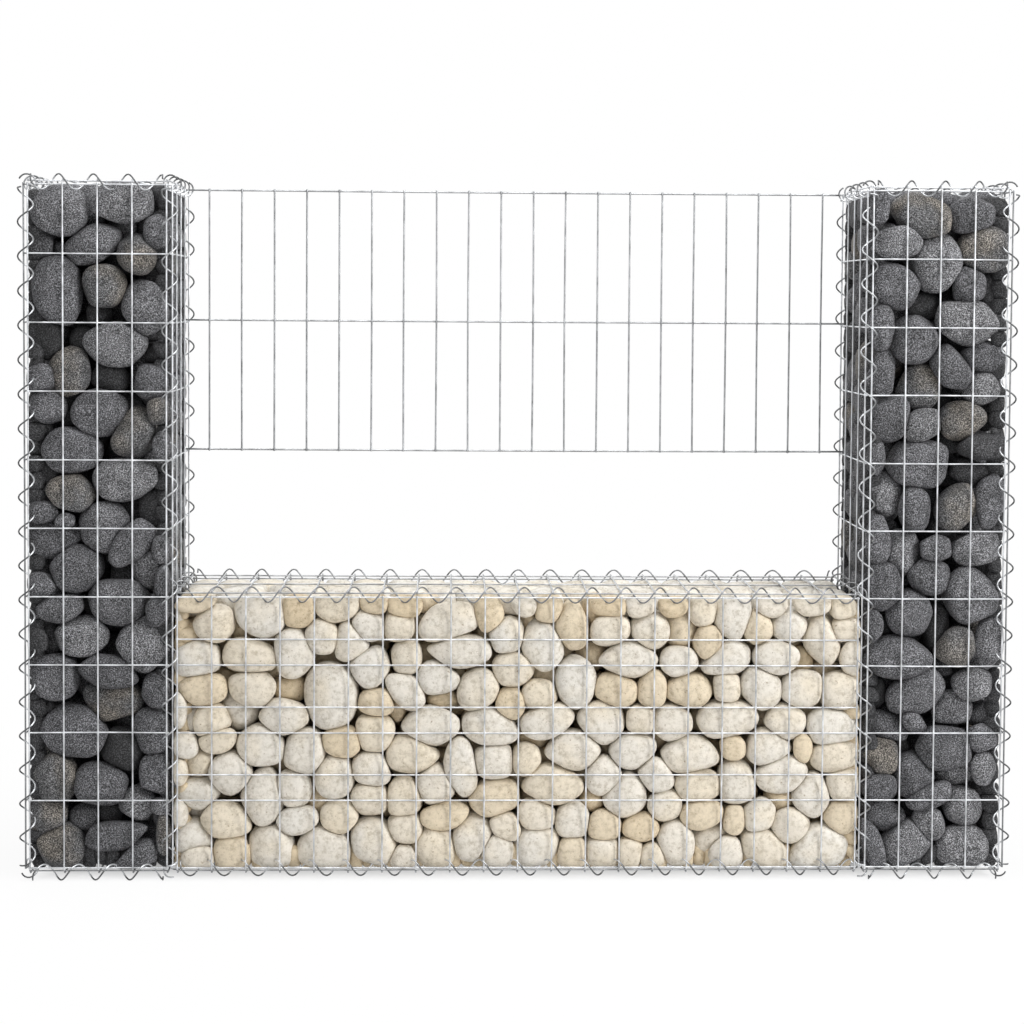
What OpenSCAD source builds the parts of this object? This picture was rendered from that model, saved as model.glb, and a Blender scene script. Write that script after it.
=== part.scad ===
// Gabion wall: two tall posts filled with dark stones, a low bench filled with pale
// pebbles between them and a wire trellis over the bench. Every basket is made of welded
// mesh panels laced together along their edges with wire spirals.
// Lengths are in millimetres, +Z is up and the front faces -Y.

/* [Mesh] */
// Width of one mesh cell
cell_w = 50; // [40:1:80]
// Height of one mesh cell
cell_h = 100; // [80:1:160]
// Distance from a basket's edge to the nearest wire of each panel
edge_gap = 7.5; // [7:0.5:12]
// Thickness of the upright wires
upright_d = 3.2; // [2.6:0.1:4.4]
// Thickness of the level wires
level_d = 2.6; // [2.1:0.1:3.6]
// Depth by which two crossing wires sink into each other at a weld
weld_bite = 0.4; // [0.2:0.05:0.8]
// Length of wire that stands past the last weld
wire_stub = 2.5; // [2.3:0.1:3]
// Clearance between pieces that lie against each other
seat_gap = 0.3; // [0.2:0.05:0.5]

/* [Posts] */
// Mesh cells across a post
post_cols = 4; // [3:1:8]
// Mesh cells up a post
post_rows = 10; // [8:1:14]
// Mesh cells from the front to the back
depth_cols = 4; // [3:1:8]
// Spaces between the long wires of a lid or a base
lid_rows = 2; // [1:1:3]

/* [Bench] */
// Mesh cells along the bench
bench_cols = 20; // [8:1:30]
// Mesh cells up the bench
bench_rows = 4; // [2:1:4]
// Height of the extra front wires over the level wires, as a share of a cell
extra_wire_share = 0.38; // [0.3:0.01:0.42]

/* [Trellis] */
// Thickness of the trellis wires
trellis_d = 2.8; // [2.2:0.1:3.8]
// Rows of trellis cells
trellis_rows = 2; // [1:1:2]
// Mesh rows of the posts that one trellis row spans
trellis_span = 2; // [1:1:2]
// Length by which the trellis wires reach past the wires that carry them
trellis_tip = 1; // [0.5:0.1:2]

/* [Spirals] */
// Thickness of the spiral wire
coil_d = 2.2; // [1.8:0.1:2.8]
// Rise of a spiral in one turn, fitted to the mesh
coil_pitch = 50; // [40:1:60]
// Free space kept around the corners where spirals meet
corner_gap = 2; // [1:0.5:5]

/* [Hidden] */

zinc = [0.62, 0.64, 0.66];
dark_stone = [0.24, 0.24, 0.26];
pale_stone = [0.85, 0.77, 0.64];

wire_sides = 6;
wire_flat_share = cos(180 / wire_sides);
coil_sides = 8;
coil_turn = 360 / coil_sides;
coil_flat_share = cos(coil_turn / 2);
coil_face_share = 0.25;
groove_sides = 12;
two_panels = 225;
three_panels = 270;
through_panel = 180;

weld_offset = (upright_d + level_d) / 2 * wire_flat_share - weld_bite;
trellis_offset = trellis_d * wire_flat_share - weld_bite;

// The spirals just clear the edge wires that they lace.
coil_reach = max(edge_gap + upright_d / 2, norm([edge_gap, weld_offset]) + level_d / 2);
coil_r = (coil_reach + seat_gap) / coil_flat_share + coil_d / 2;
coil_out = coil_r + coil_d * coil_face_share;
end_gap = coil_out + corner_gap;

// Basket planes: the uprights' centre lines lie in them.
post_w = post_cols * cell_w + 2 * edge_gap;
bench_w = bench_cols * cell_w + 2 * edge_gap;
depth = depth_cols * cell_w + 2 * edge_gap;
post_h = post_rows * cell_h + 2 * edge_gap;
bench_h = bench_rows * cell_h + 2 * edge_gap;
in_x = -bench_w / 2;
out_x = in_x - post_w;
front_y = -depth / 2;
base_z = coil_out * coil_flat_share;
post_z = base_z + post_h;
bench_z = base_z + bench_h;

post_levels = [for (row = [0:post_rows]) row * cell_h];
bench_levels = [for (row = [0:bench_rows]) row * cell_h];
extra_levels = [for (row = [1:bench_rows - 1]) (row + extra_wire_share) * cell_h];
lid_levels = [for (row = [0:lid_rows]) round(row * depth_cols / lid_rows) * cell_w];

stone_inset = weld_offset + level_d / 2 * wire_flat_share + seat_gap;
side_inset = upright_d / 2 * wire_flat_share + seat_gap;
stone_chamfer = (coil_out + seat_gap) * sqrt(2);

function chamfered(a, b) = [
    [stone_chamfer, 0], [a - stone_chamfer, 0], [a, stone_chamfer], [a, b - stone_chamfer],
    [a - stone_chamfer, b], [stone_chamfer, b], [0, b - stone_chamfer], [0, stone_chamfer]
];

function coil_ring(angle, along) = [
    [coil_out * cos(angle), coil_out * sin(angle), along - coil_d / 2],
    [coil_out * cos(angle), coil_out * sin(angle), along + coil_d / 2],
    [(coil_r - coil_d / 2) * cos(angle), (coil_r - coil_d / 2) * sin(angle), along]
];

function coil_faces(rings) = concat(
    [[0, 2, 1]],
    [[3 * rings - 3, 3 * rings - 2, 3 * rings - 1]],
    [for (i = [0:rings - 2], k = [0:2])
        [3 * i + k, 3 * i + (k + 1) % 3, 3 * i + 3 + k]],
    [for (i = [0:rings - 2], k = [0:2])
        [3 * i + (k + 1) % 3, 3 * i + 3 + (k + 1) % 3, 3 * i + 3 + k]]
);

// Straight wire along +Z with a flat towards -Y and +Y.
module wire(d, length)
    cylinder(h = length, d = d, $fn = wire_sides);

// Welded panel standing on X, uprights in front (-Y) and level wires behind them.
module mesh_panel(cols, levels) {
    for (col = [0:cols])
        translate([col * cell_w, 0, -wire_stub])
            wire(upright_d, max(levels) + 2 * wire_stub);
    for (level = levels)
        translate([-wire_stub, weld_offset, level])
            rotate([0, 90, 0])
                wire(level_d, cols * cell_w + 2 * wire_stub);
}

// Spiral along +Z whose turns pass the mesh wires on the side given by free_angle.
module spiral(length, step, free_angle) {
    pitch = step / max(1, round(step / coil_pitch));
    start_angle = free_angle + (end_gap - edge_gap) / pitch * 360;
    end_angle = free_angle + (length - end_gap - edge_gap) / pitch * 360;
    first = ceil(start_angle / coil_turn - 1 / 2);
    last = floor(end_angle / coil_turn - 1 / 2);
    points = [
        for (i = [first:last])
            let (angle = (i + 1 / 2) * coil_turn)
                each coil_ring(angle, edge_gap + (angle - free_angle) / 360 * pitch)
    ];
    polyhedron(points = points, faces = coil_faces(last - first + 1));
}

// Stone filling with bevelled edges that leave room for the spirals.
module stone_block(w, d, h)
    intersection() {
        linear_extrude(height = h)
            polygon(chamfered(w, d));
        rotate([90, 0, 90])
            linear_extrude(height = w)
                polygon(chamfered(d, h));
        translate([0, d, 0])
            rotate([90, 0, 0])
                linear_extrude(height = d)
                    polygon(chamfered(w, h));
    }

module on_right()
    mirror([1, 0, 0])
        children();

module at_back()
    mirror([0, 1, 0])
        children();

module front_panel(x, cols, levels)
    translate([x + edge_gap, front_y, base_z + edge_gap])
        mesh_panel(cols, levels);

module lid_panel(x, z, cols)
    translate([x + edge_gap, front_y + edge_gap, z])
        rotate([-90, 0, 0])
            mesh_panel(cols, lid_levels);

module base_panel(x, cols)
    translate([x + edge_gap, -front_y - edge_gap, base_z])
        rotate([90, 0, 0])
            mesh_panel(cols, lid_levels);

module outer_panel()
    translate([out_x, -front_y - edge_gap, base_z + edge_gap])
        rotate([0, 0, -90])
            mesh_panel(depth_cols, post_levels);

module inner_panel()
    translate([in_x, front_y + edge_gap, base_z + edge_gap])
        rotate([0, 0, 90])
            mesh_panel(depth_cols, post_levels);

module long_lid_spiral(x, z, length)
    translate([x, front_y, z])
        rotate([0, 90, 0])
            spiral(length, cell_w, two_panels);

module long_base_spiral(x, length)
    translate([x, front_y, base_z])
        mirror([0, 0, 1])
            rotate([0, 90, 0])
                spiral(length, cell_w, two_panels);

module post_corner_spiral(x, free_angle)
    translate([x, front_y, base_z])
        spiral(post_h, cell_h, free_angle);

module corner_spirals() {
    post_corner_spiral(out_x, two_panels);
    post_corner_spiral(in_x, three_panels);
    at_back() post_corner_spiral(out_x, two_panels);
    at_back() post_corner_spiral(in_x, three_panels);
}

module lid_spirals() {
    long_lid_spiral(out_x, post_z, post_w);
    at_back() long_lid_spiral(out_x, post_z, post_w);
    translate([out_x, front_y, post_z])
        rotate([-90, 0, 0])
            spiral(depth, cell_w, two_panels);
    translate([in_x, front_y, post_z])
        mirror([1, 0, 0])
            rotate([-90, 0, 0])
                spiral(depth, cell_w, two_panels);
}

module base_spirals() {
    long_base_spiral(out_x, post_w);
    at_back() long_base_spiral(out_x, post_w);
    translate([out_x, front_y, base_z])
        mirror([0, 0, 1])
            rotate([-90, 0, 0])
                spiral(depth, cell_w, two_panels);
    translate([in_x, -front_y, base_z])
        rotate([90, 0, 0])
            spiral(depth, cell_w, three_panels);
}

module bench_end_spiral()
    translate([in_x, front_y, bench_z])
        rotate([-90, 0, 0])
            spiral(depth, cell_w, through_panel);

module post_stones()
    difference() {
        translate([out_x + stone_inset, front_y + stone_inset, base_z + stone_inset])
            stone_block(post_w - 2 * stone_inset, depth - 2 * stone_inset,
                post_h - 2 * stone_inset);
        translate([in_x, front_y, bench_z])
            rotate([-90, 0, 0])
                cylinder(h = depth, r = (coil_out + seat_gap) / cos(180 / groove_sides),
                    $fn = groove_sides);
    }

module left_post_front_panel()
    color(zinc) front_panel(out_x, post_cols, post_levels);

module left_post_back_panel()
    color(zinc) at_back() front_panel(out_x, post_cols, post_levels);

module left_post_outer_panel()
    color(zinc) outer_panel();

module left_post_inner_panel()
    color(zinc) inner_panel();

module left_post_base_panel()
    color(zinc) base_panel(out_x, post_cols);

module left_post_lid_panel()
    color(zinc) lid_panel(out_x, post_z, post_cols);

module right_post_front_panel()
    color(zinc) on_right() front_panel(out_x, post_cols, post_levels);

module right_post_back_panel()
    color(zinc) on_right() at_back() front_panel(out_x, post_cols, post_levels);

module right_post_outer_panel()
    color(zinc) on_right() outer_panel();

module right_post_inner_panel()
    color(zinc) on_right() inner_panel();

module right_post_base_panel()
    color(zinc) on_right() base_panel(out_x, post_cols);

module right_post_lid_panel()
    color(zinc) on_right() lid_panel(out_x, post_z, post_cols);

module bench_front_panel()
    color(zinc) front_panel(in_x, bench_cols, concat(bench_levels, extra_levels));

module bench_back_panel()
    color(zinc) at_back() front_panel(in_x, bench_cols, bench_levels);

module bench_base_panel()
    color(zinc) base_panel(in_x, bench_cols);

module bench_lid_panel()
    color(zinc) lid_panel(in_x, bench_z, bench_cols);

// The trellis lies on level wires of the posts' inner panels, before their last uprights.
module trellis_panel() {
    step = trellis_span * cell_h;
    top = base_z + edge_gap + post_rows * cell_h + (level_d + trellis_d) / 2 + seat_gap;
    bottom = top - trellis_rows * step;
    y = -front_y - edge_gap - upright_d / 2 - seat_gap - trellis_d / 2 * wire_flat_share;
    reach = bench_w / 2 + weld_offset + level_d / 2 + trellis_tip;
    color(zinc) {
        for (row = [0:trellis_rows])
            translate([-reach, y, bottom + row * step])
                rotate([0, 90, 0])
                    wire(trellis_d, 2 * reach);
        for (col = [1:bench_cols])
            translate([in_x + edge_gap + (col - 1 / 2) * cell_w, y - trellis_offset,
                bottom - wire_stub])
                wire(trellis_d, top - bottom + 2 * wire_stub);
    }
}

module left_post_corner_spirals()
    color(zinc) corner_spirals();

module left_post_lid_spirals()
    color(zinc) lid_spirals();

module left_post_base_spirals()
    color(zinc) base_spirals();

module right_post_corner_spirals()
    color(zinc) on_right() corner_spirals();

module right_post_lid_spirals()
    color(zinc) on_right() lid_spirals();

module right_post_base_spirals()
    color(zinc) on_right() base_spirals();

module bench_lid_spirals()
    color(zinc) {
        long_lid_spiral(in_x, bench_z, bench_w);
        at_back() long_lid_spiral(in_x, bench_z, bench_w);
        bench_end_spiral();
        on_right() bench_end_spiral();
    }

module bench_base_spirals()
    color(zinc) {
        long_base_spiral(in_x, bench_w);
        at_back() long_base_spiral(in_x, bench_w);
    }

module left_post_stones()
    color(dark_stone) post_stones();

module right_post_stones()
    color(dark_stone) on_right() post_stones();

module bench_stones()
    color(pale_stone)
        translate([in_x + side_inset, front_y + stone_inset, base_z + stone_inset])
            stone_block(bench_w - 2 * side_inset, depth - 2 * stone_inset,
                bench_h - 2 * stone_inset);

left_post_front_panel();
left_post_back_panel();
left_post_outer_panel();
left_post_inner_panel();
left_post_base_panel();
left_post_lid_panel();
right_post_front_panel();
right_post_back_panel();
right_post_outer_panel();
right_post_inner_panel();
right_post_base_panel();
right_post_lid_panel();
bench_front_panel();
bench_back_panel();
bench_base_panel();
bench_lid_panel();
trellis_panel();
left_post_corner_spirals();
left_post_lid_spirals();
left_post_base_spirals();
right_post_corner_spirals();
right_post_lid_spirals();
right_post_base_spirals();
bench_lid_spirals();
bench_base_spirals();
left_post_stones();
right_post_stones();
bench_stones();
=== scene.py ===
# %% [markdown]
# # A gabion wall with a bench and a trellis
# A gabion is a basket of welded wire mesh that is filled with stones. This one has two tall
# posts of dark stone, a low bench of pale pebbles between them and an open trellis at the
# back. The CAD model gives the size and the place of every piece. This script makes the
# round wires, the spirals and the single stones, which solids are too plain for.

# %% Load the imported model
import bpy
import numpy as np
from mathutils import Matrix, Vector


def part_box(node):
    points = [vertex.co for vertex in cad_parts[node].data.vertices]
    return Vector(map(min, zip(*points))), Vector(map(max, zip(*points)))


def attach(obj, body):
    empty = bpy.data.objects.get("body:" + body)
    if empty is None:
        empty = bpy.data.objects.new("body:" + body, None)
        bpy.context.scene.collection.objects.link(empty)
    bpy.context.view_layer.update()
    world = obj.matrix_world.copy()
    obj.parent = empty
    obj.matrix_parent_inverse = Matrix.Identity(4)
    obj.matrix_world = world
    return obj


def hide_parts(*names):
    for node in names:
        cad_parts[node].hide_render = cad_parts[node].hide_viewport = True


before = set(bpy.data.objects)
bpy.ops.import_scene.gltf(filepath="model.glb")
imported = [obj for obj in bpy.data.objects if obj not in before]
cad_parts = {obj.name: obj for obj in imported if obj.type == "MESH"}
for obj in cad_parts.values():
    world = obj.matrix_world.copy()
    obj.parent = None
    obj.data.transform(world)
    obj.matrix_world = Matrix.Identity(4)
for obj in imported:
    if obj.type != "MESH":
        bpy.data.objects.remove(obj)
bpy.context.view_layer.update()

# %% [markdown]
# ## Sizes
# The mesh has cells of 5 by 10 cm, so the scene needs only the planes in which the panels
# lie. They could be typed in, but reading them off the CAD boxes keeps the wires where the
# solids are. A CAD wire has six sides, which is why its flat is a little short of its radius.
# The mesh wires are drawn a little thinner than the CAD bars, as the photograph shows them.

# %% Planes of the baskets
MM = 0.001
CELL_W, CELL_H = 50 * MM, 100 * MM
POST_CELLS_W, POST_CELLS_H, BENCH_CELLS_W, BENCH_CELLS_H = 4, 10, 20, 4
EDGE_GAP, STUB, WELD_BITE = 7.5 * MM, 2.5 * MM, 0.4 * MM
UPRIGHT_R, LEVEL_R, TRELLIS_R, COIL_WIRE_R = 1.6 * MM, 1.3 * MM, 1.4 * MM, 1.2 * MM
UPRIGHT_SEEN_R, LEVEL_SEEN_R = 1.25 * MM, 1.12 * MM
CAD_WIRE_SIDES = 6
FLAT = np.cos(np.pi / CAD_WIRE_SIDES)
HALF_BAR = UPRIGHT_R * FLAT
WELD_STEP = (UPRIGHT_R + LEVEL_R) * FLAT - WELD_BITE
LOW, HIGH = 0, 1

def plane(node, corner, axis):
    """Coordinate of a panel's uprights: a face of its CAD box, moved inwards by half a bar."""
    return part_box(node)[corner][axis] + (HALF_BAR if corner == LOW else -HALF_BAR)

OUT_X = plane("left_post_outer_panel", LOW, 0)
IN_X = plane("left_post_inner_panel", HIGH, 0)
FRONT_Y = plane("left_post_front_panel", LOW, 1)
BASE_Z = plane("left_post_base_panel", LOW, 2)
POST_Z = plane("left_post_lid_panel", HIGH, 2)
BENCH_Z = plane("bench_lid_panel", HIGH, 2)
print("planes in mm", np.round(np.array([OUT_X, IN_X, FRONT_Y, BASE_Z, POST_Z, BENCH_Z]) / MM, 1))

# %% [markdown]
# ## Camera
# The photograph is taken from a little left of the middle, just under the tops of the posts,
# with a long lens. A lens shift keeps the posts upright, as an architect's camera does.

# %% Camera at the photograph's place
LENS_MM, SENSOR_MM, LENS_SHIFT, CLIP_END = 75.41, 36.0, -0.1095, 60.0
CAMERA_PLACE = (-0.1117, -3.2361, 0.8545)
CAMERA_TURN, CAMERA_TIP, CAMERA_ROLL = 0.0316, -0.0463, 0.0067

def new_object(name, data):
    """An object that stands in the scene."""
    obj = bpy.data.objects.new(name, data)
    bpy.context.scene.collection.objects.link(obj)
    return obj

def placed(right, up, back, place):
    """Matrix of a camera or lamp from its three axes and its place."""
    matrix = np.eye(4)
    matrix[:3, :4] = np.stack([right, up, back, place], axis=1)
    return Matrix(matrix.tolist())

def camera_matrix(place, turn, tip, roll):
    """Camera axes from three angles: turn to the right, tip upwards, roll anticlockwise."""
    ahead = np.array([np.sin(turn) * np.cos(tip), np.cos(turn) * np.cos(tip), np.sin(tip)])
    right = np.array([np.cos(turn), -np.sin(turn), 0.0])
    up = np.cross(right, ahead)
    side = right * np.cos(roll) + up * np.sin(roll)
    top = up * np.cos(roll) - right * np.sin(roll)
    return placed(side, top, -ahead, place)

lens = bpy.data.cameras.new("photo_camera")
lens.lens, lens.sensor_width = LENS_MM, SENSOR_MM
lens.shift_y, lens.clip_end = LENS_SHIFT, CLIP_END
camera = new_object("photo_camera", lens)
camera.matrix_world = camera_matrix(CAMERA_PLACE, CAMERA_TURN, CAMERA_TIP, CAMERA_ROLL)
bpy.context.scene.camera = camera
print("camera at", np.round(camera.matrix_world.translation, 3))

# %% [markdown]
# ## Node helpers
# Every finish below is a small graph of texture nodes. A helper that adds a node, sets its
# values and links its inputs in one line keeps those graphs short enough to read.

# %% Helpers for materials
def start_material(name):
    """A new material and its shader node."""
    material = bpy.data.materials.new(name)
    material.use_nodes = True
    return material, material.node_tree.nodes["Principled BSDF"]

def wire_up(owner, node, inputs):
    """Sets values and makes links on a node's inputs. Its owner is a material or a world."""
    for key, value in inputs.items():
        if isinstance(value, bpy.types.NodeSocket):
            owner.node_tree.links.new(value, node.inputs[key])
        else:
            node.inputs[key].default_value = value

def add(owner, kind, inputs=None, **settings):
    """Adds a node; an input is a plain value or another node's output socket."""
    node = owner.node_tree.nodes.new("ShaderNode" + kind)
    for key, value in settings.items():
        setattr(node, key, value)
    wire_up(owner, node, inputs or {})
    return node

def ramp(material, factor, stops):
    """Colour ramp from a list of (place, colour), where one number is a grey."""
    node = add(material, "ValToRGB", {"Fac": factor})
    while len(node.color_ramp.elements) < len(stops):
        node.color_ramp.elements.new(0.5)
    for element, (place, colour) in zip(node.color_ramp.elements, stops):
        element.position = place
        element.color = (*np.broadcast_to(colour, 3), 1.0)
    return node.outputs["Color"]

def mix(material, factor, first, second, blend="MIX"):
    """Mixes two colours, which are inputs 6 and 7 of Blender's mix node and come out as 2."""
    node = add(material, "Mix", {0: factor, 6: first, 7: second}, data_type="RGBA", blend_type=blend)
    return node.outputs[2]

def times(material, first, second):
    """Two colours multiplied."""
    return mix(material, 1.0, first, second, "MULTIPLY")

def noise(material, where, scale, detail, roughness=0.5):
    """Cloudy noise from 0 to 1, with about scale swings to a metre."""
    inputs = {"Vector": where, "Scale": scale, "Detail": detail, "Roughness": roughness}
    return add(material, "TexNoise", inputs).outputs["Fac"]

def span(material, value, low, high, first=0.0, last=1.0):
    """A value that runs from first to last while another runs from low to high."""
    inputs = {"Value": value, "From Min": low, "From Max": high, "To Min": first, "To Max": last}
    return add(material, "MapRange", inputs).outputs[0]

def relief(material, height, strength, depth):
    """Normals of a bumpy surface."""
    inputs = {"Height": height, "Strength": strength, "Distance": depth}
    return add(material, "Bump", inputs).outputs[0]

# %% [markdown]
# ## Galvanised wire
# The wire is steel dipped in zinc. The zinc is dull, and brighter and darker patches run
# along it. A metal shader with uneven colour and roughness shows that under any light. Some
# panels look greyer than the front mesh because they lie in shade. Darker copies of the zinc
# are painted shade for them and for the spirals, so there are four such finishes.

# %% Zinc finish
ZINC_TINT = np.array([0.98, 1.0, 1.03])
PATCH_SHARES = ((0.3, 0.65), (0.52, 1.0), (0.72, 1.35))

def zinc_finish(name, tone, outer=1.0):
    """Zinc whose patches run from well under to well over a tone. Bends that stand outside a
    basket have only the share outer of it, which is painted shade for the darker surroundings
    they reflect."""
    material, shader = start_material(name)
    where = add(material, "TexCoord").outputs["Object"]
    shades = [(place, tone * share * ZINC_TINT) for place, share in PATCH_SHARES]
    patches = ramp(material, noise(material, where, 60.0, 4.0), shades)
    outside = add(material, "Attribute", attribute_name="outside").outputs["Fac"]
    # Painted shade: bends outside a basket darken towards the share outer.
    colour = times(material, patches, span(material, outside, -0.3, 0.6, 1.0, outer))
    grains = noise(material, where, 900.0, 2.0)
    wire_up(material, shader, {"Base Color": colour, "Metallic": 0.8,
                               "Roughness": span(material, grains, 0.0, 1.0, 0.28, 0.52),
                               "Normal": relief(material, grains, 0.15, 0.0004)})
    return material

zinc = zinc_finish("galvanised_zinc", tone=0.65)
# Painted shade: the grey and the dark copies of the zinc stand for panels and spirals in shade.
painted_shade_zinc = zinc_finish("painted_shade_zinc", tone=0.38)
painted_dark_shade_zinc = zinc_finish("painted_dark_shade_zinc", tone=0.27)
# The spirals' zinc darkens its outer bends to a fifth, as painted shade.
coil_zinc = zinc_finish("coil_zinc", tone=0.62, outer=0.19)
print("made", zinc.name, painted_shade_zinc.name, painted_dark_shade_zinc.name, coil_zinc.name)

# %% [markdown]
# ## Mesh wires
# A welded panel is a row of upright wires with level wires behind them. Each wire could be a
# curve with a bevel, but a ring of points carried along the wire gives the weld its swelling
# too, and one array holds all the wires of a panel.

# %% Straight wires as arrays of rings
RING_SIDES = 8
AROUND = np.arange(RING_SIDES) * 2 * np.pi / RING_SIDES
WELD_RINGS = np.array([-5.0, -2.2, 0.0, 2.2, 5.0]) * MM
WELD_SWELL, WELD_SPREAD = 0.2, 2.5 * MM
END_RING, END_SHARE, BOW = 0.6 * MM, 0.75, 0.35 * MM

def tube_faces(wires, rings):
    """Quads between neighbouring rings of every wire, and one cap at each end."""
    first = np.arange(wires)[:, None, None] * rings * RING_SIDES
    ring = np.arange(rings - 1)[None, :, None] * RING_SIDES
    side = np.arange(RING_SIDES)[None, None, :]
    after = (side + 1) % RING_SIDES
    corners = [first + ring + side, first + ring + after,
               first + ring + RING_SIDES + after, first + ring + RING_SIDES + side]
    quads = np.stack(np.broadcast_arrays(*corners), axis=-1).reshape(-1, 4)
    begin = first[:, 0] + np.arange(RING_SIDES)[None, ::-1]
    end = first[:, 0] + (rings - 1) * RING_SIDES + np.arange(RING_SIDES)[None, :]
    return quads, np.concatenate([begin, end])

def ring_places(length, welds):
    """Distances along a wire, to a thousandth of a millimetre: two rings at each end, a cluster
    of rings at each weld and one between welds."""
    middles = (welds[1:] + welds[:-1]) / 2
    ends = [0.0, END_RING, length - END_RING, length]
    places = np.concatenate([(welds[:, None] + WELD_RINGS).ravel(), middles, ends])
    return np.unique(np.round(places[(places >= 0) & (places <= length)], 6))

def straight_wires(starts, along, length, radius, welds, rng):
    """Point = start + along * s + radius * swell(s) * (cos a * e1 + sin a * e2) + bow(s).
    swell rises by a fifth at each weld and falls at the cut ends; bow is half a wave, mostly
    under a millimetre, that differs from wire to wire."""
    s = ring_places(length, welds)
    swell = 1 + WELD_SWELL * np.exp(-((s[:, None] - welds) / WELD_SPREAD) ** 2).max(axis=1)
    swell[[0, -1]] *= END_SHARE
    e1 = np.roll(along, 1)
    e2 = np.cross(along, e1)
    ring = np.cos(AROUND)[:, None] * e1 + np.sin(AROUND)[:, None] * e2
    bow = rng.normal(0, BOW, (len(starts), 2, 1)) * np.sin(np.pi * s / length)
    drift = bow[:, 0, :, None] * e1 + bow[:, 1, :, None] * e2
    centre = starts[:, None, :] + along * s[None, :, None] + drift
    points = centre[:, :, None, :] + radius * swell[None, :, None, None] * ring
    return points.reshape(-1, 3), *tube_faces(len(starts), len(s))

# %% From arrays to a piece
def join(parts):
    """Several (points, quads, caps) sets as one."""
    shift = np.cumsum([0] + [len(points) for points, _, _ in parts])
    points = np.concatenate([points for points, _, _ in parts])
    quads = np.concatenate([quads + n for (_, quads, _), n in zip(parts, shift)])
    caps = np.concatenate([caps + n for (_, _, caps), n in zip(parts, shift)])
    return points, quads, caps

def make_piece(name, points, faces, material, slot, *nodes):
    """Puts arrays into a mesh, shades it smooth, hangs it under the root body and hides the CAD nodes it
    stands for.
    """
    mesh = bpy.data.meshes.new(name)
    mesh.from_pydata(points.tolist(), [], faces)
    mesh.polygons.foreach_set("use_smooth", np.ones(len(mesh.polygons), bool))
    mesh.materials.append(material)
    mesh.update()
    piece = new_object(name, mesh)
    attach(piece, "root")
    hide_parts(*nodes)
    return piece

def wire_piece(name, parts, finish, *nodes):
    """A piece of zinc-coated wire."""
    points, quads, caps = join(parts)
    piece = make_piece(name, points, quads.tolist() + caps.tolist(), finish, "wire", *nodes)
    print(name, len(piece.data.polygons), "faces")
    return piece

# %% Panels of the posts and the bench
X, Y, Z = np.eye(3)
WIRE_SEED, EXTRA_SHARE = 41, 0.38
wire_rng = np.random.default_rng(WIRE_SEED)

def panel(corner, across, up, inward, columns, rows):
    """Uprights at each column, level wires behind them at each row, with short cut ends."""
    corner = np.array(corner)
    high, wide = rows.max() + 2 * STUB, columns.max() + 2 * STUB
    uprights = corner + columns[:, None] * across - STUB * up
    levels = corner + rows[:, None] * up - STUB * across + WELD_STEP * inward
    return join([straight_wires(uprights, up, high, UPRIGHT_SEEN_R, rows + STUB, wire_rng),
                 straight_wires(levels, across, wide, LEVEL_SEEN_R, columns + STUB, wire_rng)])

post_columns = np.arange(POST_CELLS_W + 1) * CELL_W
post_rows = np.arange(POST_CELLS_H + 1) * CELL_H
bench_columns = np.arange(BENCH_CELLS_W + 1) * CELL_W
bench_rows = np.arange(BENCH_CELLS_H + 1) * CELL_H
lid_rows = post_columns[::2]
extra_rows = (np.arange(1, BENCH_CELLS_H) + EXTRA_SHARE) * CELL_H
front_rows = np.sort(np.concatenate([bench_rows, extra_rows]))
foot_z, near_y = BASE_Z + EDGE_GAP, FRONT_Y + EDGE_GAP

def sheets(x, inward, top_z, columns, front, back):
    """What panel needs for a basket's front, back, base and lid."""
    return {"front": ((x, FRONT_Y, foot_z), inward, Z, Y, columns, front),
            "back": ((x, -FRONT_Y, foot_z), inward, Z, -Y, columns, back),
            "base": ((x, near_y, BASE_Z), inward, Y, Z, columns, lid_rows),
            "lid": ((x, near_y, top_z), inward, Y, -Z, columns, lid_rows)}

for side, sign in (("left", 1), ("right", -1)):
    inward, start_x = sign * X, sign * (OUT_X + EDGE_GAP)
    post_sheets = sheets(start_x, inward, POST_Z, post_columns, post_rows, post_rows)
    for place, x, facing in (("outer", OUT_X, inward), ("inner", IN_X, -inward)):
        post_sheets[place] = ((sign * x, near_y, foot_z), Y, Z, facing, post_columns, post_rows)
    for place in ("front", "back", "outer", "inner", "base", "lid"):
        node = f"{side}_post_{place}_panel"
        # Painted shade: outer and base panels take the darkest copy of the zinc.
        finish = painted_dark_shade_zinc if place in ("outer", "base") else zinc
        wire_piece(f"{side}_post_{place}_mesh", [panel(*post_sheets[place])], finish, node)

bench_sheets = sheets(IN_X + EDGE_GAP, X, BENCH_Z, bench_columns, front_rows, bench_rows)
for place, sheet in bench_sheets.items():
    # Painted shade: the bench's back, base and lid take the grey copy of the zinc.
    finish = zinc if place == "front" else painted_shade_zinc
    wire_piece(f"bench_{place}_mesh", [panel(*sheet)], finish, f"bench_{place}_panel")

# %% [markdown]
# ## Trellis
# The trellis is a lighter panel with tall cells. Its three level wires run into the posts,
# where they lie on wires of the inner panels, and its uprights stop at the outer two.

# %% Trellis wires
TRELLIS_LEVELS, TRELLIS_SPAN = 3, 2
low, high = (np.array(corner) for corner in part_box("trellis_panel"))
wide, _, tall = high - low
trellis_rows = np.arange(TRELLIS_LEVELS) * TRELLIS_SPAN * CELL_H
trellis_columns = IN_X + EDGE_GAP + (np.arange(BENCH_CELLS_W) + 0.5) * CELL_W
level_y, upright_y = high[1] - TRELLIS_R * FLAT, low[1] + TRELLIS_R * FLAT
level_starts = np.array([(low[0], level_y, low[2] + STUB + row) for row in trellis_rows])
upright_starts = np.array([(x, upright_y, low[2]) for x in trellis_columns])
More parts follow.
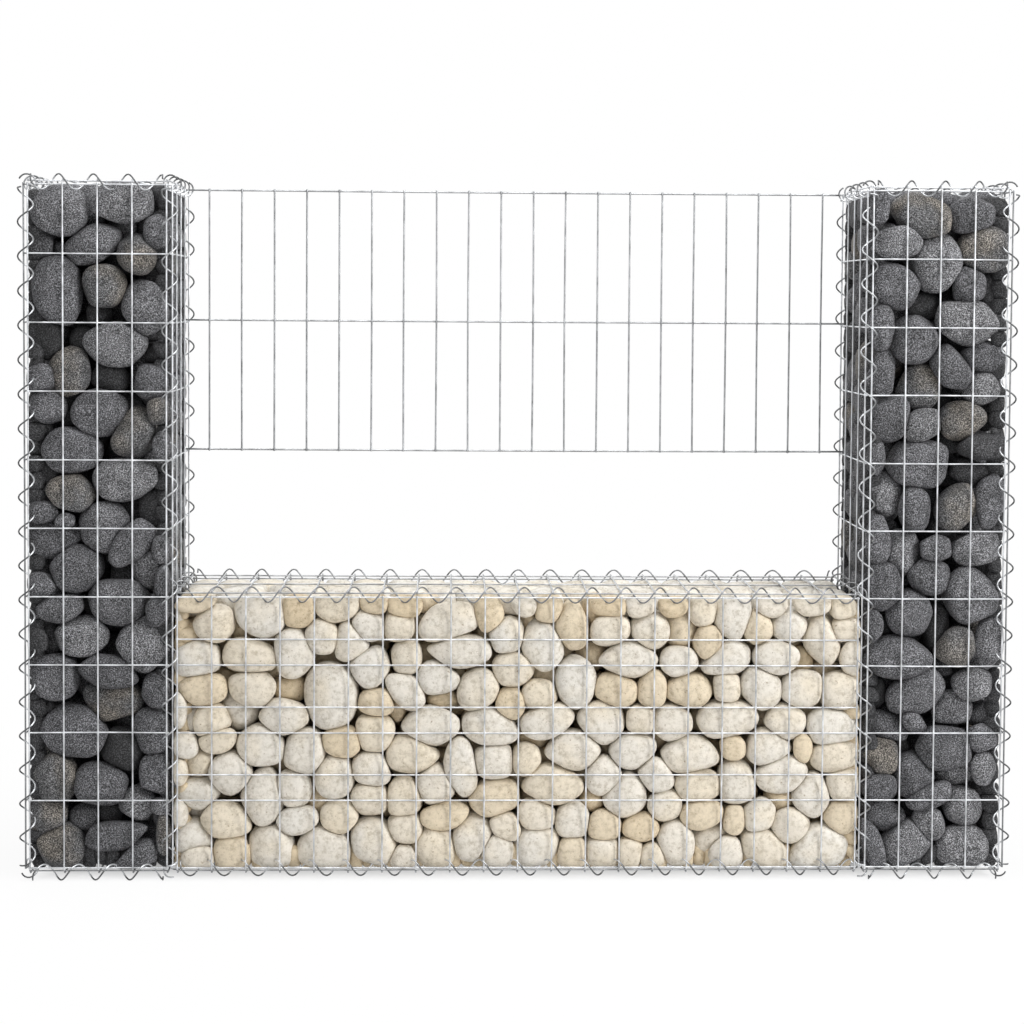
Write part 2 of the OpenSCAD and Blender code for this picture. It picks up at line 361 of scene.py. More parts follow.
# Painted shade: the trellis takes the grey copy of the zinc.
wire_piece("trellis_mesh", [
    straight_wires(level_starts, X, wide, TRELLIS_R, trellis_columns - low[0], wire_rng),
    straight_wires(upright_starts, Z, tall, TRELLIS_R, trellis_rows + STUB, wire_rng),
], painted_shade_zinc, "trellis_panel")

# %% [markdown]
# ## Spirals
# A spiral of wire is screwed along each edge to lace two or three panels together. It is a
# helix about the edge. Its turns pass the mesh wires on their free side, as they must when
# the spiral is screwed in, and each end is closed up with a flatter turn. The bench's long
# spirals are wound the other way, so they start from its right end.

# %% Helix carried along an edge
COIL_R, COIL_PITCH, COIL_INSET, END_GAP = 11.2 * MM, 50 * MM, 3.75 * MM, 13.8 * MM
COIL_STEPS, END_STEPS, END_TURN, END_SLOPE = 20, 8, 1.2, 0.18
COIL_FOOT = COIL_R + COIL_WIRE_R - COIL_INSET
FOOT_OUT, BENCH_FOOT_LIFT = 2.0 * MM, 6.0 * MM
NO_SIDE = np.zeros(3)
# Where a turn passes the mesh wires, in degrees around the edge: outside an edge of two panels,
# in front of one of three, through a post's panel, and high in front at the foot of the bench.
TWO, THREE, THROUGH, OVER = 225, 270, 180, 330

def unit(vectors):
    """Vectors scaled to length 1."""
    return vectors / np.linalg.norm(vectors, axis=-1, keepdims=True)

def spiral(origin, along, zero, quarter, length, step, free_angle, outward):
    """Centre = axis + along * h(a) + R * (cos a * zero + sin a * quarter), with the height
    h = edge gap + (a - free angle) * pitch / turn. The axis lies inside the edge, midway between
    the two edge wires, or inside the post where three panels meet. In the last fifth of a turn at
    each end, h slows down to a flat ring. The ring of the wire stands across the path. A last
    array says how far along outward each point stands, in radii."""
    pitch = step / max(1, round(step / COIL_PITCH))
    turn = 2 * np.pi
    free = np.radians(free_angle)
    first = free + (END_GAP - EDGE_GAP) / pitch * turn
    last = free + (length - END_GAP - EDGE_GAP) / pitch * turn
    steps = int((last - first) / turn * COIL_STEPS) + END_STEPS
    a = np.linspace(first - END_TURN, last + END_TURN, steps)
    h = EDGE_GAP + (np.clip(a, first, last) - free) * pitch / turn
    h = h + END_SLOPE * (a - np.clip(a, first, last)) * pitch / turn
    radial = np.cos(a)[:, None] * zero + np.sin(a)[:, None] * quarter
    inset = quarter - zero if free_angle == THREE else quarter + zero
    axis = np.array(origin) + COIL_INSET * inset
    centre = axis + h[:, None] * along + COIL_R * radial
    across = np.cross(unit(np.gradient(centre, axis=0)), radial)
    ring = (np.cos(AROUND)[None, :, None] * radial[:, None]
            + np.sin(AROUND)[None, :, None] * across[:, None])
    points = centre[:, None] + COIL_WIRE_R * ring
    outside = np.repeat(radial @ outward, RING_SIDES)
    return points.reshape(-1, 3), *tube_faces(1, len(a)), outside

def coil_piece(name, coils, finish, *nodes):
    """A piece of spirals, with an attribute that tells inner bends from outer ones, which the zinc darkens
    as painted shade.
    """
    piece = wire_piece(name, [coil[:3] for coil in coils], finish, *nodes)
    outside = piece.data.attributes.new("outside", "FLOAT", "POINT")
    outside.data.foreach_set("value", np.concatenate([coil[3] for coil in coils]))

# %% Spirals of the posts
post_w, post_h, depth = IN_X - OUT_X, POST_Z - BASE_Z, -2 * FRONT_Y
bench_w = -2 * IN_X

for side, sign in (("left", 1), ("right", -1)):
    out_x, in_x, inward = sign * OUT_X, sign * IN_X, sign * X
    corners, lids, bases = [], [], []
    for y, back, bare in ((FRONT_Y, Y, NO_SIDE), (-FRONT_Y, -Y, inward)):
        foot = np.array((out_x, y, COIL_FOOT)) - FOOT_OUT * back
        corners.append(spiral((out_x, y, BASE_Z), Z, inward, back, post_h, CELL_H, TWO, -inward - back))
        corners.append(spiral((in_x, y, BASE_Z), Z, inward, back, post_h, CELL_H, THREE, bare))
        lids.append(spiral((out_x, y, POST_Z), inward, -Z, back, post_w, CELL_W, TWO, Z - back))
        bases.append(spiral(foot, inward, Z, back, post_w, CELL_W, TWO, -Z - back))
    lids.append(spiral((out_x, FRONT_Y, POST_Z), Y, inward, -Z, depth, CELL_W, TWO, Z - inward))
    lids.append(spiral((in_x, FRONT_Y, POST_Z), Y, -inward, -Z, depth, CELL_W, TWO, Z + inward))
    bases.append(spiral((out_x, FRONT_Y, COIL_FOOT), Y, inward, Z, depth, CELL_W, TWO, -Z - inward))
    bases.append(spiral((in_x, -FRONT_Y, COIL_FOOT), -Y, inward, Z, depth, CELL_W, THREE, NO_SIDE))
    for place, coils in (("corner", corners), ("lid", lids), ("base", bases)):
        coil_piece(f"{side}_post_{place}_coils", coils, coil_zinc, f"{side}_post_{place}_spirals")

# %% Spirals of the bench
tops, ends, feet = [], [], []
for y, back in ((FRONT_Y, Y), (-FRONT_Y, -Y)):
    foot = np.array((-IN_X, y, COIL_FOOT + BENCH_FOOT_LIFT)) - FOOT_OUT * back
    tops.append(spiral((-IN_X, y, BENCH_Z), -X, -Z, back, bench_w, CELL_W, TWO, Z - back))
    feet.append(spiral(foot, -X, Z, back, bench_w, CELL_W, OVER, -Z - back))
for x, inward in ((IN_X, X), (-IN_X, -X)):
    ends.append(spiral((x, FRONT_Y, BENCH_Z), Y, inward, -Z, depth, CELL_W, THROUGH, Z))
# Painted shade: the bench's lid spirals take the darkest copy of the zinc.
coil_piece("bench_lid_coils", tops + ends, painted_dark_shade_zinc, "bench_lid_spirals")
coil_piece("bench_base_coils", feet, coil_zinc, "bench_base_spirals")

# %% [markdown]
# ## Stones
# The stones could be dropped into the baskets with a physics run, but then no stone would lie
# where the photograph shows it. So the stones of the front are laid one by one, as a mason lays
# a face, and the rest are thrown in behind them and pushed apart until they lie side by side.

# %% Stones laid one by one
# Each row is one stone as the photograph shows it: centre across and down, width and height
# in pixels, and where it lies askew the tilt of its width in degrees. The frames are the outer
# wires of the mesh in the same pixels: left, right, top and bottom.
LEFT_FRAME = (25, 160.7, 183, 870)
LEFT_STONES = {
    "grey": [
        (58, 210, 56, 48), (90, 243, 56, 36, 22), (153, 230, 28, 34), (54, 290, 50, 72, 3),
        (142, 306, 46, 54, 30), (145, 379, 34, 40), (37, 376, 24, 28), (46, 404, 36, 32, -15),
        (96, 410, 54, 46, 8), (156, 445, 18, 32), (69, 448, 58, 45, -5), (100, 524, 50, 52),
        (50, 537, 48, 38), (126, 540, 54, 34, 45), (73, 564, 56, 46, 15), (155, 547, 18, 28),
        (157, 578, 16, 34), (38, 582, 24, 24), (113, 599, 62, 48), (57, 606, 46, 30, 5),
        (153, 610, 28, 30, -20), (51, 674, 46, 46), (104, 669, 60, 32, -5), (150, 688, 28, 36),
        (72, 729, 68, 50, -8), (147, 728, 36, 46), (97, 783, 54, 42, -5), (151, 773, 32, 42),
        (113, 837, 72, 30, 4), (131, 854, 48, 26, 20), (60, 519, 20, 16), (40, 510, 26, 22)],
    "pale": [
        (117, 202, 68, 37, -3), (111, 340, 62, 46), (120, 476, 66, 42, 8), (141, 563, 34, 44, 10),
        (77, 633, 56, 40), (136, 642, 48, 56, -20), (131, 803, 38, 35), (154, 806, 16, 18)],
    "brown": [
        (132, 252, 40, 38, -20), (100, 284, 42, 41), (65, 370, 42, 54, -20), (130, 431, 40, 52, -30),
        (153, 408, 24, 26), (67, 490, 48, 38), (106, 701, 58, 40, -5), (52, 777, 42, 52, 20),
        (58, 849, 48, 44, -30), (42, 815, 32, 36), (158, 835, 18, 44)],
    "behind": [
        (35, 243, 24, 30), (57, 247, 14, 16), (96, 313, 26, 24), (40, 335, 34, 44), (79, 338, 24, 28),
        (151, 351, 20, 22), (107, 374, 36, 30), (35, 428, 20, 36), (65, 414, 18, 22), (40, 468, 30, 34),
        (36, 490, 20, 26), (157, 471, 16, 20), (150, 504, 28, 38), (34, 558, 20, 28), (47, 637, 26, 34),
        (33, 636, 16, 28), (36, 710, 20, 30), (120, 743, 42, 42), (82, 815, 30, 26), (93, 862, 28, 18),
        (152, 272, 22, 28), (154, 196, 20, 22), (118, 572, 26, 24), (104, 813, 24, 20)],
}
RIGHT_FRAME = (875.4, 1006.1, 190.5, 869)
RIGHT_STONES = {
    "grey": [
        (879, 207, 24, 30), (968, 214, 46, 38), (897, 286, 50, 40, -30), (884, 326, 24, 44),
        (914, 337, 46, 46), (987, 355, 40, 32), (952, 367, 34, 48, 35), (882, 370, 34, 46),
        (891, 416, 50, 44, 15), (875, 456, 28, 36), (921, 462, 64, 46), (993, 497, 24, 58, -15),
        (917, 507, 30, 42), (880, 538, 32, 46), (939, 547, 32, 26), (932, 573, 40, 36), (887, 583, 40, 50),
        (970, 592, 52, 58, 30), (912, 611, 44, 46, 20), (876, 624, 26, 32), (904, 656, 68, 42, -8),
        (921, 691, 60, 40, 28), (958, 707, 42, 38, -10), (894, 727, 50, 26, -18), (921, 722, 26, 18, -30),
        (950, 747, 58, 42, 6), (985, 737, 30, 28, -20), (922, 775, 42, 46), (886, 787, 38, 26),
        (938, 797, 52, 22, 22), (895, 818, 42, 30, -15), (876, 844, 32, 48, 20), (993, 641, 24, 52),
        (966, 284, 32, 36)],
    "pale": [
        (893, 242, 60, 34, 6), (934, 262, 50, 58), (966, 319, 66, 46, -8), (981, 386, 36, 30, 20),
        (923, 422, 40, 29, 30), (889, 493, 36, 42), (907, 553, 36, 46), (979, 546, 48, 32, 12),
        (977, 682, 40, 34), (968, 771, 54, 28, 25), (968, 806, 40, 38), (936, 823, 32, 30, -30),
        (912, 848, 60, 38, 25), (968, 846, 50, 40), (988, 768, 24, 32)],
    "brown": [
        (921, 216, 60, 42, -20), (982, 247, 44, 48), (924, 385, 44, 46, -30), (963, 419, 44, 38),
        (959, 505, 50, 38, 40), (960, 644, 44, 40), (889, 756, 36, 36)],
    "behind": [
        (995, 208, 18, 22), (993, 290, 26, 44), (922, 306, 36, 28), (995, 413, 20, 32), (984, 441, 46, 28),
        (950, 441, 28, 20), (970, 471, 40, 26, -10), (994, 567, 20, 28), (941, 626, 28, 48),
        (945, 666, 26, 16), (880, 691, 26, 30), (992, 711, 24, 26), (908, 745, 18, 16), (990, 789, 24, 22),
        (993, 815, 18, 30), (995, 846, 16, 28), (944, 524, 24, 22), (890, 625, 18, 24)],
}
BENCH_FRAME = (177, 859.3, 601, 870)
BENCH_STONES = {
    "white": [
        (263, 617, 58, 42), (176, 619, 16, 20), (292, 652, 40, 52), (323, 638, 34, 32), (352, 641, 38, 42),
        (199, 660, 44, 36), (331, 697, 54, 70), (238, 711, 44, 38, -40), (284, 717, 50, 34),
        (189, 723, 22, 30), (177, 712, 16, 34), (304, 752, 42, 48), (187, 746, 22, 26), (261, 746, 50, 40),
        (231, 773, 42, 40), (177, 773, 18, 24), (265, 797, 42, 62), (294, 789, 32, 38), (334, 776, 40, 46),
        (199, 795, 42, 32), (178, 815, 16, 26), (298, 820, 42, 26, 8), (195, 841, 34, 44, 20),
        (271, 849, 46, 40), (325, 846, 54, 42, -8), (366, 629, 38, 32), (447, 624, 66, 34, 6),
        (505, 636, 36, 36), (457, 653, 70, 29), (370, 669, 36, 44), (437, 679, 48, 30),
        (405, 691, 52, 29, -35), (429, 727, 62, 38), (490, 727, 60, 37, -12), (372, 770, 40, 34, -30),
        (460, 769, 30, 64, 6), (494, 761, 40, 34), (434, 783, 38, 40), (377, 843, 62, 44, -35),
        (475, 837, 46, 44), (497, 855, 32, 34), (537, 846, 50, 44, 10), (540, 645, 39, 56, 8),
        (648, 631, 38, 35), (575, 682, 42, 56), (628, 661, 64, 32), (678, 663, 38, 28),
        (546, 722, 56, 34, 12), (601, 722, 50, 42), (672, 723, 42, 34, -12), (633, 750, 48, 38, 10),
        (572, 750, 64, 36), (603, 777, 36, 38), (623, 796, 46, 50), (658, 776, 40, 30, -40),
        (689, 755, 62, 34), (667, 805, 36, 32), (572, 822, 36, 40), (677, 842, 38, 46), (733, 621, 40, 44),
        (788, 627, 40, 32), (725, 660, 58, 34, 25), (774, 658, 46, 32), (760, 689, 44, 38, -20),
        (803, 688, 46, 36, 10), (841, 690, 44, 38, 25), (728, 720, 70, 40), (785, 724, 44, 36),
        (770, 746, 52, 34, 5), (830, 728, 50, 38), (737, 783, 38, 50, 12), (784, 774, 56, 36, 10),
        (811, 795, 38, 44), (762, 817, 38, 32, 20), (726, 856, 36, 26, 20), (821, 846, 66, 42, 6)],
    "cream": [
        (214, 626, 44, 32), (338, 609, 46, 30, 10), (249, 659, 58, 32, -8), (252, 689, 46, 33, -15),
        (212, 724, 36, 36), (217, 740, 38, 24), (199, 763, 28, 30), (226, 822, 52, 34, -18),
        (339, 817, 38, 32), (398, 628, 32, 33), (510, 608, 34, 22), (407, 661, 29, 38),
        (478, 690, 46, 38, 30), (512, 671, 42, 36), (374, 734, 42, 38), (526, 760, 30, 30),
        (411, 755, 60, 38), (370, 798, 36, 34), (404, 798, 36, 42), (406, 828, 34, 33), (402, 861, 24, 20),
        (433, 851, 46, 42), (506, 828, 32, 26, -30), (523, 607, 26, 22), (609, 630, 40, 33),
        (638, 609, 32, 20), (701, 615, 26, 32), (537, 696, 38, 28), (640, 721, 28, 30), (553, 784, 66, 38),
        (697, 786, 48, 32), (536, 817, 40, 30), (604, 855, 38, 30), (631, 855, 28, 28), (652, 861, 24, 24),
        (771, 609, 30, 20), (813, 607, 36, 20), (842, 611, 24, 22), (826, 641, 40, 58, 20),
        (846, 633, 24, 30), (852, 656, 18, 40), (727, 688, 27, 30), (836, 756, 50, 31), (846, 785, 30, 32),
        (790, 825, 44, 33, -5), (714, 842, 44, 31, 12), (765, 851, 54, 34, -28), (198, 857, 30, 20)],
    "tan": [
        (196, 605, 38, 20), (204, 691, 47, 30), (343, 742, 38, 30), (231, 855, 34, 31), (374, 606, 30, 20),
        (376, 703, 36, 27), (495, 798, 51, 40), (444, 817, 48, 25, 12), (511, 703, 30, 31),
        (546, 612, 26, 28), (571, 627, 34, 46), (682, 629, 34, 41), (616, 691, 43, 30, -5),
        (651, 690, 30, 36), (690, 691, 50, 32), (605, 826, 34, 31), (640, 829, 37, 31), (573, 855, 28, 30),
        (702, 816, 46, 28), (757, 628, 32, 33), (707, 641, 26, 35), (734, 748, 25, 25), (804, 749, 18, 27),
        (736, 820, 23, 29), (844, 817, 28, 33)],
    "behind": [
        (188, 635, 20, 18), (297, 613, 34, 30), (243, 633, 26, 22), (289, 690, 32, 28), (333, 664, 40, 28),
        (320, 800, 30, 28), (403, 607, 38, 22), (425, 606, 24, 18), (487, 617, 28, 28), (397, 711, 18, 22),
        (441, 702, 32, 20), (594, 616, 22, 26), (608, 607, 36, 20), (670, 607, 28, 18), (545, 676, 28, 22),
        (592, 658, 32, 30), (535, 738, 36, 20), (650, 803, 24, 28), (592, 799, 24, 24), (802, 662, 20, 26),
        (852, 722, 20, 32), (780, 800, 28, 26), (851, 857, 20, 22), (854, 833, 16, 24), (745, 795, 26, 26),
        (600, 690, 24, 26), (826, 672, 28, 22), (474, 726, 24, 24)],
}
tables = (LEFT_STONES, RIGHT_STONES, BENCH_STONES)
print("laid by hand:", [sum(map(len, table.values())) for table in tables])

# %% [markdown]
# ## Filling a basket
# A stone starts as an ellipsoid: a centre, three half axes and their directions. The tables
# give those in front, and small ones close what would be gaps at the edges.

# %% Laying the front
# Stones listed as behind are not named here and take the dark tone of painted shade for the gaps instead.
TONES = {"grey": 0.35, "pale": 0.62, "brown": 0.9, "white": 0.15, "cream": 0.42, "tan": 0.7}
EYE = np.array(camera.matrix_world.translation)
INSET, WALL_PX, NEAR_PX = 3.5 * MM, 4, 7
DEPTH_SHARE, LEAST_DEPTH, FRONT_ROOM, BEHIND_SHARE = 0.9, 14 * MM, 1.12, 0.6
UNEVEN = (0.9, 1.1)

def basket(left_x, right_x, top_z, inset, rim):
    """The room for a basket's stones, which is a box and the rim under its lid, and the outer
    wires of its front mesh: left, right, top and bottom."""
    low = np.array([left_x, FRONT_Y, BASE_Z]) + inset
    high = np.array([right_x, -FRONT_Y, top_z]) - inset
    return (low, high, rim), (left_x + EDGE_GAP, right_x - EDGE_GAP, top_z - EDGE_GAP, foot_z)

def about(axis, angles):
    """Rotation matrices about X, Y or Z, which are axes 0, 1 and 2."""
    turns = np.zeros((len(angles), 3, 3))
    a, b = (axis + 1) % 3, (axis + 2) % 3
    turns[:, axis, axis] = 1
    turns[:, a, a] = turns[:, b, b] = np.cos(angles)
    turns[:, b, a], turns[:, a, b] = np.sin(angles), -np.sin(angles)
    return turns

def laid_stones(table, window, face, growth, wall_y, setback_and_shade, rng):
    """Ellipsoids for a table of stones. A pixel's share of the window is a place on the mesh;
    from there a stone goes back along the line of sight until its front is just behind wall_y.
    A stone that ends near a side is drawn out to it. Its depth is near its smaller width. Gives
    centres, half axes, axes and tones."""
    rows = np.array([(*row, 0)[:5] for stones in table.values() for row in stones], float)
    names = np.repeat(list(table), [len(stones) for stones in table.values()])
    left, right, top, bottom = window
    low_edge, high_edge = rows[:, :2] - rows[:, 2:4] / 2, rows[:, :2] + rows[:, 2:4] / 2
    first, last = np.array([left, top]) - WALL_PX, np.array([right, bottom]) + WALL_PX
    low_edge = np.where(low_edge < first + NEAR_PX, first, low_edge)
    high_edge = np.where(high_edge > last - NEAR_PX, last, high_edge)
    rows[:, :2], rows[:, 2:4] = (low_edge + high_edge) / 2, high_edge - low_edge
    wide, high = (face[1] - face[0]) / (right - left), (face[2] - face[3]) / (bottom - top)
    size = np.sqrt(wide * high) * growth
    half = np.stack([rows[:, 2], DEPTH_SHARE * rows[:, 2:4].min(axis=1), rows[:, 3]], axis=1) * size / 2
    half[:, 1] = np.maximum(half[:, 1] * rng.uniform(*UNEVEN, len(rows)), LEAST_DEPTH)
    back = FRONT_ROOM * half[:, 1] + np.where(names == "behind", BEHIND_SHARE * setback_and_shade[0], 0)
    mesh = np.stack([face[0] + (rows[:, 0] - left) * wide, np.full(len(rows), FRONT_Y),
                     face[3] + (bottom - rows[:, 1]) * high], axis=1)
    sight = (mesh - EYE) / (FRONT_Y - EYE[1])
    centres = mesh + sight * (wall_y - FRONT_Y + back)[:, None]
    # Painted shade: stones listed as behind take the dark tone of the gaps.
    tones = np.array([TONES.get(name, setback_and_shade[1]) for name in names])
    return centres, half, about(1, -np.radians(rows[:, 4])), tones

# %% Throwing in behind
MIXED, THROWN_TILT = (0.78, 1.18), 0.45
LAYER_STEP, LAYER_MIXED, LAYER_DRIFT, LAYER_TILT = 1.75, (0.85, 1.15), 6 * MM, 0.12
EDGE_HALF, EDGE_MIXED, EDGE_TILT = np.array([13, 9, 20]) * MM, (0.8, 1.15), 0.3
EDGE_DEPTH_MM, EDGE_BACK = (20, 24), 0.6
# Places of the edge stones, in their half axes.
EDGE_TOP, EDGE_RISE, EDGE_STEP, EDGE_SIDE, EDGE_FOOT = 1.4, 1.2, 1.4, 0.8, 0.7

def turned(yaw, dip, lean):
    """Rotation matrices: a lean about Y, then a dip about X, then a yaw about Z."""
    return about(2, yaw) @ about(0, dip) @ about(1, lean)

def thrown_stones(low, high, count, half, tones, rng):
    """Ellipsoids at random places, of mixed size, mostly lying flat."""
    centres = rng.uniform(low, high, (count, 3))
    halves = half * rng.uniform(*MIXED, (count, 1)) * rng.uniform(*UNEVEN, (count, 3))
    yaw, dip, lean = rng.uniform(0, 2 * np.pi, count), *rng.normal(0, THROWN_TILT, (2, count))
    return centres, halves, turned(yaw, dip, lean), rng.choice(tones, count)

def level_stones(low, high, half, tones, rng):
    """Ellipsoids in rows just under the lid and on the base, a little under a width apart, each
    of them moved a little at random."""
    across, back = (np.arange(low[k] + half[k], high[k], LAYER_STEP * half[k]) for k in (0, 1))
    x, y, top = (grid.ravel() for grid in np.meshgrid(across, back, [0, 1]))
    halves = half * rng.uniform(*LAYER_MIXED, (len(x), 3))
    z = np.where(top, high[2] - halves[:, 2], low[2] + halves[:, 2])
    centres = np.stack([x, y, z], axis=1)
    centres[:, :2] += rng.normal(0, LAYER_DRIFT, (len(x), 2))
    yaw, dip, lean = rng.uniform(0, 2 * np.pi, len(x)), *rng.normal(0, LAYER_TILT, (2, len(x)))
    return centres, halves, turned(yaw, dip, lean), rng.choice(tones[:3], len(x))

def edge_stones(low, high, tone, rng):
    """Small ellipsoids behind the others, in a column up each upright edge and a row along the
    foot of the front, where a gap would show the daylight."""
    half = EDGE_HALF
    count = int((high - low)[2] / half[2] / EDGE_RISE)
    up = np.linspace(low[2] + half[2], high[2] - EDGE_TOP * half[2], count)
    along = np.arange(low[0] + half[0], high[0], EDGE_STEP * half[0])
    corners = np.array([(x, y) for x in (0, 1) for y in (0, 1)])
    side, back = (np.append(np.repeat(column, count), 0 * along) for column in corners.T)
    set_back = rng.uniform(*EDGE_DEPTH_MM, len(side)) * MM
    x = np.where(side, high[0] - EDGE_SIDE * half[0], low[0] + EDGE_SIDE * half[0])
    y = np.where(back, high[1] - EDGE_BACK * set_back, low[1] + set_back)
    x[-len(along):] = along
    z = np.append(np.tile(up, len(corners)), 0 * along + low[2] + EDGE_FOOT * half[2])
    halves = half * rng.uniform(*EDGE_MIXED, (len(x), 3))
    yaw, dip, lean = rng.normal(0, EDGE_TILT, (3, len(x)))
    # Painted shade: the edge stones take the dark tone of the gaps.
    return np.stack([x, y, z], axis=1), halves, turned(yaw, dip, lean), np.full(len(x), tone)

# %% Pushing stones apart
ITSELF_FAR, WALL_SHARE, PUSH, ROUNDS = 9, 0.88, 0.5, 90

def neighbours(centres, spans):
    """Unit vectors and distances between all centres, and how far each stone reaches along them.
    spans holds each stone's half axes as columns; its reach towards n is |spans^T n|. A stone
    counts as far away from itself."""
    gaps = centres[None] - centres[:, None]
    far = np.linalg.norm(gaps, axis=2) + np.eye(len(centres)) * ITSELF_FAR
    towards = gaps / far[:, :, None]
    reach = np.linalg.norm(towards @ spans, axis=2)
    return towards, far, reach

def push_apart(centres, spans, free, low, high):
    """In every round, moves each pair that overlaps apart by half of the overlap, or less where
    free is less than 1, and keeps the stones in the box."""
    walls = WALL_SHARE * np.linalg.norm(spans, axis=2)
    for _ in range(ROUNDS):
        towards, far, reach = neighbours(centres, spans)
        overlap = np.maximum(reach + reach.T - far, 0) / 2
        centres = centres - PUSH * free * (overlap[:, :, None] * towards).sum(axis=1)
        centres = np.clip(centres, low + walls, high - walls)
    return centres

# %% [markdown]
# ## Shapes of the stones
# A stone grows from its centre until something stops it: a neighbour, the basket, a broken
# face or its own round form. A soft maximum rounds off the edges where two of these meet.

# %% Cages of points
def cube_sphere(cuts):
    """Unit directions on a cube's faces, cut into squares and pushed out to a sphere, and the
    quads between them. Points that two faces share are merged."""
    t = np.tan(np.linspace(-1, 1, cuts + 1) * np.pi / 4)
    u, v = (grid.ravel() for grid in np.meshgrid(t, t))
    one = np.ones_like(u)
    faces = [(one, u, v), (-one, v, u), (v, one, u), (u, -one, v), (u, v, one), (v, u, -one)]
    points = np.concatenate([np.stack(face, axis=1) for face in faces])
    unique, index = np.unique(np.round(points, 6), axis=0, return_inverse=True)
    k = np.arange(cuts * cuts)
    a = k // cuts * (cuts + 1) + k % cuts
    quad = np.stack([a, a + 1, a + cuts + 2, a + cuts + 1], axis=1)
    quads = np.concatenate([quad + n * (cuts + 1) ** 2 for n in range(len(faces))])
    return unit(unique), index.ravel()[quads]

FINE, MEDIUM, COARSE = cube_sphere(8), cube_sphere(5), cube_sphere(3)
print("points of the cages:", [len(cage) for cage, _ in (FINE, MEDIUM, COARSE)])

# %% Surfaces of the stones
NEAREST, LEAST_SLOPE = 18, 6 * MM
CHIP_MOST, GROW_MOST, FULLER, WAVES, WAVE_TURNS = 1.05, 1.1, 1.03, 5, 2.4

def stone_limits(centres, half, axes, low, high, rim):
    """Planes that bound each stone, as normal / distance: one towards each of its nearest
    neighbours, which shares the way between the two centres by their reaches, the six of the box,
    and four slopes that leave room for the spirals. The slopes cut the lid's edges back by rim,
    which is one value, or one each for the right, the back, the left and the front."""
    towards, far, reach = neighbours(centres, axes * half[:, None, :])
    near = np.argsort(far - reach - reach.T, axis=1)[:, :NEAREST]
    split = np.take_along_axis(far * reach / (reach + reach.T), near, axis=1)
    normals = np.take_along_axis(towards, near[:, :, None], axis=1) / split[:, :, None]
    box = np.concatenate([np.eye(3), -np.eye(3)])
    to_box = np.concatenate([high - centres, centres - low], axis=1)
    sides = [0, 1, 3, 4]
    slopes = (box[sides] + Z) / np.sqrt(2)
    to_slopes = np.maximum((to_box[:, sides] + to_box[:, [2]]) / np.sqrt(2) - rim, LEAST_SLOPE)
    walls, to_walls = np.concatenate([box, slopes]), np.concatenate([to_box, to_slopes], axis=1)
    return np.concatenate([normals, walls / to_walls[:, :, None]], axis=1)

def stone_points(cage, limits, centres, half, axes, rng, sharpness, facets, cut, swell, lumps, square):
    """Distance from the centre in direction u is 1 / (sum of g^p)^(1/p). Each g says how soon u
    meets a limit: u.n / d for the planes, the same for a few broken faces of the stone's own,
    and the length of u in half axes for its own round form, which is an ellipsoid where square
    is 2 and boxier above that. A low p gives a pebble, a high p a broken stone. The stone then
    grows until it touches, by a tenth at most, and waves as high as lumps make it uneven."""
    count = len(centres)
    chips = unit(rng.normal(size=(count, facets, 3))) / rng.uniform(cut, CHIP_MOST, (count, facets, 1))
    chips = (chips / half[:, None]) @ axes.transpose(0, 2, 1)
    u = unit((cage * half[:, None]) @ axes.transpose(0, 2, 1))
    touch = np.maximum(u @ limits.transpose(0, 2, 1), 0)
    broken = np.maximum(u @ chips.transpose(0, 2, 1), 0)
    own = np.linalg.norm((u @ axes) / half[:, None], ord=square, axis=2) / swell
    soft = (touch ** sharpness).sum(axis=2) + (broken ** sharpness).sum(axis=2) + own ** sharpness
    soft = soft ** (1 / sharpness)
    grow = np.clip((soft / touch.max(axis=2)).min(axis=1, keepdims=True), 1.0, GROW_MOST)
    wave = rng.normal(0, WAVE_TURNS, (count, 3, WAVES))
    phase = rng.uniform(0, 2 * np.pi, (count, 1, WAVES))
    bumps = np.cos(u @ wave + phase).mean(axis=2)
    radius = grow / soft * (FULLER + lumps * bumps)
    return centres[:, None] + radius[:, :, None] * u

# %% From stones to pieces
PATTERN_SHIFT, TINT_SPREAD = 9, 0.06
SECOND_DEPTH, SECOND_SIDE, LID_DEPTH, OUTER_DEPTH = 100 * MM, 50 * MM, 45 * MM, 66 * MM
# How freely laid, level and thrown stones are pushed along X, Y and Z.
FREEDOM = np.array([(0.004, 0.4, 0.004), (0.8, 0.8, 0.2), (1.0, 1.0, 1.0)])

def stone_piece(name, stones, rng, material, slot, node):
    """One mesh for all the stones of a piece, with a tint and a pattern shift per stone; the tint of
    stones in the gaps is painted shade.
    """
    points, quads, tints = stones
    count, size = points.shape[:2]
    faces = (quads[None] + np.arange(count)[:, None, None] * size).reshape(-1, 4)
    piece = make_piece(name, points.reshape(-1, 3), faces.tolist(), material, slot, node)
    tint = piece.data.attributes.new("stone_tint_and_shade", "FLOAT", "POINT")
    tint.data.foreach_set("value", np.repeat(tints, size))
    shift = piece.data.attributes.new("stone_shift", "FLOAT_VECTOR", "POINT")
    shifts = rng.uniform(-PATTERN_SHIFT, PATTERN_SHIFT, (count, 3))
    shift.data.foreach_set("vector", np.repeat(shifts, size, axis=0).ravel())
    print(name, count, "stones", 2 * len(faces), "triangles")

